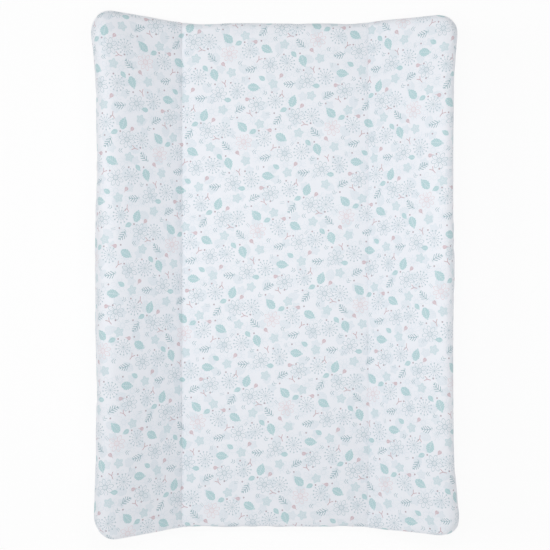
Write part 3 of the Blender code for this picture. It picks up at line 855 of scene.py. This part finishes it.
def makeCover():
    x, y, qx, qy, q, angle = coverGrid(coverMesh)
    points = coverAt(x, y, q, angle)
    points = points + normalsOf(points) * slackAt(x, y, q, qx, qy)[..., None]
    side, end = (place.reshape(-1, 2) for place in clothPlace(x, y, q, angle, coverAt))
    quads, quadSide, halves, halfSide = cutFaces(qx, qy, x, y)
    uvs = []
    for faces, isSide in ((quads, quadSide), (halves, halfSide)):
        place = np.where(isSide[:, None, None], side[faces], end[faces])
        uvs.append(place.reshape(-1, 2))
    uvs = np.concatenate(uvs)
    cover = meshFrom("topCover", points.reshape(-1, 3), [quads, halves], printedCloth, uvs)
    thicken(cover, mat["cloth"])
    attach(cover, "mat")
    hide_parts("top_cover")
    spans = 2 * np.abs(np.concatenate([side, end])).max(0)
    print("flat cloth", spans.round(1))
    return points


coverPoints = makeCover()
print("cover made")


backMesh = {"across": 40, "length": 60, "roll": 8, "rise": 3, "curl": 3}
baseRoll = 4.0  # radius at which the back cover and the blocks turn up from the floor


def backAt(x, y, q, angle):
    # Flat sheet, quarter roll (q to 1), short rise to the seam (q to 2), edge turned in (q to 3).
    run = mat["core"] - mat["tuck"] - baseRoll
    s = np.clip(q, 0, 1) * (run + baseRoll * quarter)
    turn = np.maximum(0, s - run) / baseRoll
    inwards, over = turnedHem(q)
    px, py = outwards(x, y, np.minimum(s, run) + baseRoll * np.sin(turn) - inwards, angle)
    rise = np.clip(q - 1, 0, 1) * (mat["seam"] - baseRoll - hem["lip"])
    return np.stack([*flared(px, py, 1), baseRoll * (1 - np.cos(turn)) + rise + over], -1)


def makeBack():
    steps = backMesh
    rings = ringsOf(steps["roll"], steps["rise"], steps["curl"])
    across = mirrored(graded((flatX, steps["across"])), rings)
    lengthwise = mirrored(graded((flatY, steps["length"])), rings)
    x, y, _, _, q, angle = rimGrid(*across, *lengthwise)
    points = backAt(x, y, q, angle).reshape(-1, 3)
    faces = gridFaces(*x.shape)[:, ::-1]
    uvs = points[:, :2][faces].reshape(-1, 2)
    back = meshFrom("backCover", points, [faces], plainCloth, uvs)
    thicken(back, mat["cloth"])
    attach(back, "mat")
    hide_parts("back_cover")


makeBack()
print("back made")


foamBlock = {  # cut blocks inside the cover: skin of air above, and how far their sides stand in
    "skin": 3.0,
    "rimSkin": 0.7,  # how much more air there is where the roll is steep
    "sideInset": 6.6,
    "footInset": 9.6,
    "underside": 1.6,
    "leastWall": 6.0,
    "besideWeb": 0.8,
    "chamfer": 7.5,
    "toe": 5.0,
    "grain": 0.25,
    "grainTo": 0.9,  # ring at which the grain of the top ends
    "centre": 31,  # from here on, steps
    "wing": 16,
    "length": 70,
    "roll": 8,
    "wall": 4,
    "under": 3,
    "cut": 4,
}


def foamAt(x, y, q, angle):
    # The cover's own surface moved inwards (q to 1), straight down (q to 2), rolled under (q to 3).
    values = foamBlock
    share = np.sin(angle) ** 2
    side, foot = values["sideInset"], np.where(y < 0, values["footInset"], values["sideInset"])
    radius = radiusAt(x, angle)
    t = np.clip(q, 0, 1)
    reach = (mat["core"] - side - (foot - side) * share) * t
    turn = np.arcsin(np.clip((reach - mat["core"] + radius) / radius, 0, 1))
    under = np.clip(q - 2, 0, 1) * quarter
    px, py = outwards(x, y, reach - baseRoll * (1 - np.cos(under)), angle)
    top = topHeight(*outwards(x, y, reach, angle)) - radius * (1 - np.cos(turn))
    top = top - values["skin"] * (1 + values["rimSkin"] * np.tan(turn) * t)
    low = values["underside"] + baseRoll
    top = np.maximum(top, low + values["leastWall"])
    down = np.clip(q - 1, 0, 1)
    z = top + (low - top) * down - baseRoll * np.sin(under)
    return np.stack([*flared(px, py, down), z], -1)


def twoSided(face, back):
    # Two grids of the same stations as one mesh's points and quads, the second turned over.
    faces = gridFaces(*face.shape[:2])
    points = np.concatenate([face.reshape(-1, 3), back.reshape(-1, 3)])
    return points, [np.concatenate([faces, faces[:, ::-1] + len(points) // 2])]


weldWithin = 0.02


def weld(piece):
    # Joins the points that two grids share, so that the shell is closed.
    work = bmesh.new()
    work.from_mesh(piece.data)
    bmesh.ops.remove_doubles(work, verts=work.verts, dist=weldWithin * mm)
    bmesh.ops.recalc_face_normals(work, faces=work.faces)
    work.to_mesh(piece.data)
    work.free()


def makeFoamBlock(name, cadNode, flats, ringsBelow, ringsAbove):
    # flats runs across the block; a side with rings is rolled, and one without is a straight cut.
    values = foamBlock
    under = evenSteps(values["under"], 2, 3)
    rings = np.concatenate([ringsOf(values["roll"], values["wall"], 0), under])
    cut = evenSteps(values["cut"])
    below, above = (rings if ringsBelow else cut), (rings if ringsAbove else cut)
    x = np.concatenate([np.full(len(below), flats[0]), flats, np.full(len(above), flats[-1])])
    zero = np.zeros(len(flats))
    qx = np.concatenate([below[::-1] * ringsBelow, zero, above * ringsAbove])
    drop = np.concatenate([below[::-1] * (not ringsBelow), zero, above * (not ringsAbove)])
    lengthwise = mirrored(graded((flatY, values["length"])), rings)
    x, y, _, _, q, angle = rimGrid(x, qx, *lengthwise)
    top = foamAt(x, y, q, angle)
    # Grain of the cut: two crossed waves, 30 and 37 mm long, each bent by a slower one.
    grain = np.sin(x * 0.21 + 1.3 * np.sin(y * 0.05)) * np.sin(y * 0.17 + np.sin(x * 0.09))
    top[..., 2] += values["grain"] * grain * (q < values["grainTo"]) * (drop == 0)
    top[..., 2] += (values["underside"] - top[..., 2]) * drop
    flat, edge = foamAt(x, y, q * 0, angle), foamAt(x, y, q * 0 + 3, angle)
    bottom = flat + (edge - flat) * q[..., None] / 3
    bottom[..., 2] = values["underside"]
    block = meshFrom(name, *twoSided(top, bottom), cutFoam)
    weld(block)
    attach(block, "mat")
    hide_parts(cadNode)


def makeFoams():
    crease, beside = mat["creaseX"], foamBlock["besideWeb"]
    inner, chamfer = crease - beside, crease - foamBlock["chamfer"]
    level = np.linspace(-chamfer, chamfer, foamBlock["centre"])
    centre = np.concatenate([[-inner], level, [inner]])
    wing = np.linspace(crease + foamBlock["toe"], flatX, foamBlock["wing"])
    across = np.concatenate([[crease + beside], wing])
    makeFoamBlock("centreFoam", "centre_foam", centre, False, False)
    makeFoamBlock("rightFoam", "right_wedge_foam", across, False, True)
    makeFoamBlock("leftFoam", "left_wedge_foam", -across[::-1], True, False)


makeFoams()
print("foams made")


def strip(name, cadNode, face, behind, material, uv):
    # A flat band of cloth: its two faces as grids of the same stations, closed round the edge.
    points, faceLists = twoSided(face, behind)
    uvs = np.tile(uv.reshape(-1, 2), (2, 1))[faceLists[0]].reshape(-1, 2)
    band = meshFrom(name, points, faceLists, material, uvs)
    weld(band)
    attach(band, "mat")
    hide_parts(cadNode)
    return band


webShape = {  # the wave turns by so many radians to a millimetre
    "gap": 0.2,
    "half": 0.32,
    "thinOver": 0.5,
    "wave": 0.08,
    "waveAlong": 0.09,
    "waveUp": 0.3,
    "stations": 150,
    "steps": 12,
}


def rounded(steps):
    # Steps from 0 to 1 that are closer together at both ends, by a cosine.
    return (1 - np.cos(np.linspace(0, math.pi, steps + 1))) / 2


def nearEdge(value, low, high, over):
    # 0 at low and at high, rising to 1 over a short way inside them.
    return np.clip(np.minimum(value - low, high - value) / over, 0, 1)


def makeWebs():
    # Upright strips between the blocks, thin at their edges, with a slow wave.
    values = webShape
    for which, side in (("left", -1), ("right", 1)):
        cadNode = which + "_crease_web"
        low, high = (np.array(corner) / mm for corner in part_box(cadNode))
        groove = mat["centreHeight"] - mat["creaseDepth"][which]
        high[2] = groove - mat["cloth"] - values["gap"]
        wide, tall = high[1] - low[1], high[2] - low[2]
        along = np.linspace(low[1], high[1], values["stations"])
        y, z = np.meshgrid(along, low[2] + tall * rounded(values["steps"]))
        thin = nearEdge(z, low[2], high[2], values["thinOver"])
        half = values["half"] * np.sqrt(thin * nearEdge(y, low[1], high[1], values["thinOver"]))
        wave = values["wave"] * np.sin(y * values["waveAlong"]) * np.sin(z * values["waveUp"])
        middle = side * mat["creaseX"] + wave
        face, behind = (np.stack([middle + way * half, y, z], -1) for way in (-1, 1))
        uv = np.stack([y, z], -1)
        web = strip(which + "Web", cadNode, face, behind, webCloth, uv)
        tall * mm
        wide * mm


sliderX = sum(corner[0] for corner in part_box("zip_slider")) / 2 / mm
zipShape = {  # where the tapes' inner edges stand about the teeth, as in the frame
    "middle": 13.5,
    "plane": -344.35,
    "edge": 2.2,
    "spread": 1.6,
    "spreadFrom": sliderX - 1.44,
    "spreadTo": sliderX + 2.52,
    "stopsEnd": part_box("upper_top_stop")[1][0] / mm,
    "closeOver": 1.2,  # past the stops the edges close to ajar over this length
    "ajar": 0.06,
    "tapeWidth": 10.0,
    "half": 0.3,
    "rib": 0.04,
    "ribTurn": 2.2,  # radians to a millimetre
    "thinOver": 0.4,
    "stations": 360,
    "steps": 18,
}


def makeTapes():
    # Woven tapes: flat bands with fine ribs along them, by a cosine, and rounded edges.
    values = zipShape
    middle, plane, start = values["middle"], values["plane"], values["spreadFrom"]
    for name, side, rest in (("upper", 1, "topCover"), ("lower", -1, "backCover")):
        cadNode = name + "_zip_tape"
        low, high = (np.array(corner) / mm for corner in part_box(cadNode))
        x = np.linspace(low[0], high[0], values["stations"])
        spread = ease((x - start) / (values["spreadTo"] - start))
        inner = values["edge"] + values["spread"] * spread
        closed = ease((np.abs(x) - values["stopsEnd"]) / values["closeOver"])
        inner = inner + (values["ajar"] - inner) * closed
        outer = (high[2] - middle) if side > 0 else (middle - low[2])
        x, t = np.meshgrid(x, rounded(values["steps"]))
        across = inner + (outer - inner) * t
        edge = nearEdge(across, inner, outer, values["thinOver"])
        edge = edge * nearEdge(x, low[0], high[0], values["thinOver"])
        rib = values["rib"] * np.cos((across - inner) * values["ribTurn"]) * edge
        half = values["half"] * np.sqrt(edge) + rib
        z = middle + side * across
        face, behind = (np.stack([x, plane + way * half, z], -1) for way in (-1, 1))
        uv = np.stack([x, across], -1)
        tape = strip(name + "Tape", cadNode, face, behind, tapeCloth, uv)
        flat = (values["tapeWidth"] * mm, (high[0] - low[0]) * mm)


stitches = {  # pitch, length and radius of each kind of thread, in millimetres
    "crease": (4.0, 3.1, 0.32),
    "zip": (3.4, 2.6, 0.26),
    "lift": 0.1,
    "dip": 0.6,  # how far the ends dip in and how wide they are, as shares of the radius
    "endWidth": 0.35,
    "aboveSlot": 2.2,
    "sections": 6,
    "sides": 6,
}


def stitchRow(name, path, normals, kind):
    # Separate short threads along a path. Each is a tube whose middle stands above the cloth by
    # lift and whose ends dip into it, as a sine over its length.
    pitch, stitch, radius = stitches[kind]
    sections, sides = stitches["sections"], stitches["sides"]
    lengths = np.concatenate([[0], np.cumsum(np.linalg.norm(np.diff(path, axis=0), axis=1))])
    count = int((lengths[-1] - stitch) / pitch) + 1
    starts = (lengths[-1] - (count - 1) * pitch - stitch) / 2 + pitch * np.arange(count)
    share = np.linspace(0, 1, sections)
    at = starts[:, None] + stitch * share[None]
    centre = np.stack([np.interp(at, lengths, path[:, k]) for k in range(3)], -1)
    up = np.stack([np.interp(at, lengths, normals[:, k]) for k in range(3)], -1)
    up /= np.linalg.norm(up, axis=-1, keepdims=True)
    tangent = np.gradient(centre, axis=1)
    tangent /= np.linalg.norm(tangent, axis=-1, keepdims=True)
    side = np.cross(tangent, up)
    swell = np.sin(share * math.pi)
    arch = (swell * (stitches["lift"] + radius) - radius * stitches["dip"])[None, :, None]
    least = stitches["endWidth"]
    width = (radius * (least + (1 - least) * swell ** 0.5))[:, None, None]
    turns = (np.arange(sides) * 2 * math.pi / sides)[:, None]
    circle = np.cos(turns) * side[:, :, None] + np.sin(turns) * up[:, :, None]
    points = (centre + up * arch)[:, :, None] + width * circle
    threads = (np.arange(count) * sections * sides)[:, None]
    first = threads[:, :, None] + (np.arange(sections - 1) * sides)[:, None]
    a, b = np.arange(sides), (np.arange(sides) + 1) % sides
    ring = [first + a, first + sides + a, first + sides + b, first + b]
    quads = np.stack(ring, -1).reshape(-1, 4)
    ends = np.concatenate([threads + a, threads + (sections - 1) * sides + a[::-1]])
    row = meshFrom(name, points.reshape(-1, 3), [quads, ends], threadCloth)
    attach(row, "mat")


def makeStitches():
    normals = normalsOf(coverPoints)
    x, y, qx, qy, q, angle = coverGrid(coverMesh)
    for name, side in (("leftCreaseStitches", -1), ("rightCreaseStitches", 1)):
        column = int(np.argmin(np.abs(x[0] - side * mat["creaseX"])))
        used = qy[:, column] <= 1.5
        stitchRow(name, coverPoints[used, column], normals[used, column], "crease")
    # Along the zip, at one height on the end wall: each column is read between two of its rows.
    wall = np.flatnonzero((y[:, 0] < 0) & (np.abs(qy[:, 0] - 1.5) < 0.51))[::-1]
    columns = np.flatnonzero(np.abs(coverPoints[wall[-1], :, 0]) <= mat["slotX"])
    heights = coverPoints[wall][:, columns, 2]
    drop = heights[0] - mat["slotTop"] - stitches["aboveSlot"]
    rowAt = drop / (heights[0] - heights[-1]) * (len(wall) - 1)
    upper = np.clip(rowAt.astype(int), 0, len(wall) - 2)
    part = (rowAt - upper)[:, None]
    path, up = (
        grid[wall[upper], columns] * (1 - part) + grid[wall[upper + 1], columns] * part
        for grid in (coverPoints, normals)
    )
    stitchRow("upperZipStitches", path, up, "zip")


makeWebs()
makeTapes()
makeStitches()
print("strips and stitches made")

moulded = ["upper_zip_teeth", "lower_zip_teeth", "upper_top_stop", "lower_top_stop", "bottom_stop"]
plated = ["zip_slider", "zip_pull"]
for names, finish in ((moulded, mouldedPlastic), (plated, platedMetal)):
    for name in names:
        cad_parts[name].data.materials[0] = finish


# Stage

stageValues = {  # metres, and millimetres for the lens and the film
    "cameraHeight": 1.4,
    "focal": 64.9,
    "film": 36.0,
    "world": 0.51,
    "floorHalf": 6.0,
    "floorDrop": 0.0005,
    "floorTone": srgb(250, 250, 250),
    "floorWhite": 0.9,  # share of plain white in what the camera sees of the floor
}
softboxes = {  # place, aim, sizes and power of each lamp
    "leftBox": ((-2.2, 0.25, 1.95), (0, 0.08, 0), (0.9, 0.8), 16.3),
    "topBox": ((0, 0.1, 0.95), (0, 0.1, 0), (0.5, 0.25), 2.48),
    "rightBox": ((2.3, 0, 0.9), (0, 0, 0), (1.6, 1.0), 4.4),
    "footBox": ((0, -2.5, 0.9), (0, 0, 0), (1.6, 1.0), 8.2),
}


def seenDirectly(tree):
    # 1 for rays from the camera and for reflections, and 0 for those that light the object.
    lightPath = tree.nodes.new("ShaderNodeLightPath")
    camera, glossy = (lightPath.outputs[name] for name in ("Is Camera Ray", "Is Glossy Ray"))
    return most(Num(tree, camera), Num(tree, glossy))


def makeFloor():
    size = stageValues["floorHalf"]
    corners = [(-size, -size, 0), (size, -size, 0), (size, size, 0), (-size, size, 0)]
    floorMesh = bpy.data.meshes.new("floor")
    floorMesh.from_pydata(corners, [], [(0, 1, 2, 3)])
    floor = bpy.data.objects.new("floor", floorMesh)
    bpy.context.scene.collection.objects.link(floor)
    floor.location.z = -stageValues["floorDrop"]
    finish = {"Roughness": 0.9, "Base_Color": stageValues["floorTone"]}
    material, tree, shader = newMaterial("floorPaper", **finish)
    white = tree.nodes.new("ShaderNodeEmission")
    white.inputs["Strength"].default_value = 1.0
    mixed = tree.nodes.new("ShaderNodeMixShader")
    plug(tree, seenDirectly(tree) * stageValues["floorWhite"], mixed.inputs[0])
    tree.links.new(shader.outputs[0], mixed.inputs[1])
    tree.links.new(white.outputs[0], mixed.inputs[2])
    output = next(made for made in tree.nodes if made.type == "OUTPUT_MATERIAL")
    tree.links.new(mixed.outputs[0], output.inputs["Surface"])
    floorMesh.materials.append(material)


def makeStudio():
    world = bpy.data.worlds.new("studio")
    bpy.context.scene.world = world
    world.use_nodes = True
    background = world.node_tree.nodes["Background"]
    background.inputs["Color"].default_value = (1, 1, 1, 1)
    level = stageValues["world"]
    strength = seenDirectly(world.node_tree) * (1 - level) + level
    plug(world.node_tree, strength, background.inputs["Strength"])

    for name, (place, aim, (sizeX, sizeY), power) in softboxes.items():
        light = bpy.data.lights.new(name, "AREA")
        light.shape = "RECTANGLE"
        light.size, light.size_y, light.energy = sizeX, sizeY, power
        lamp = bpy.data.objects.new(name, light)
        bpy.context.scene.collection.objects.link(lamp)
        lamp.location = place
        lamp.rotation_euler = (Vector(aim) - Vector(place)).to_track_quat("-Z", "Y").to_euler()

    camera = bpy.data.cameras.new("camera")
    camera.lens = stageValues["focal"]
    camera.sensor_width = stageValues["film"]
    holder = bpy.data.objects.new("camera", camera)
    bpy.context.scene.collection.objects.link(holder)
    holder.location = (0, 0, stageValues["cameraHeight"])
    bpy.context.scene.camera = holder
    bpy.context.scene.view_settings.view_transform = "Standard"


makeFloor()
makeStudio()
print("stage made")

bpy.context.view_layer.update()
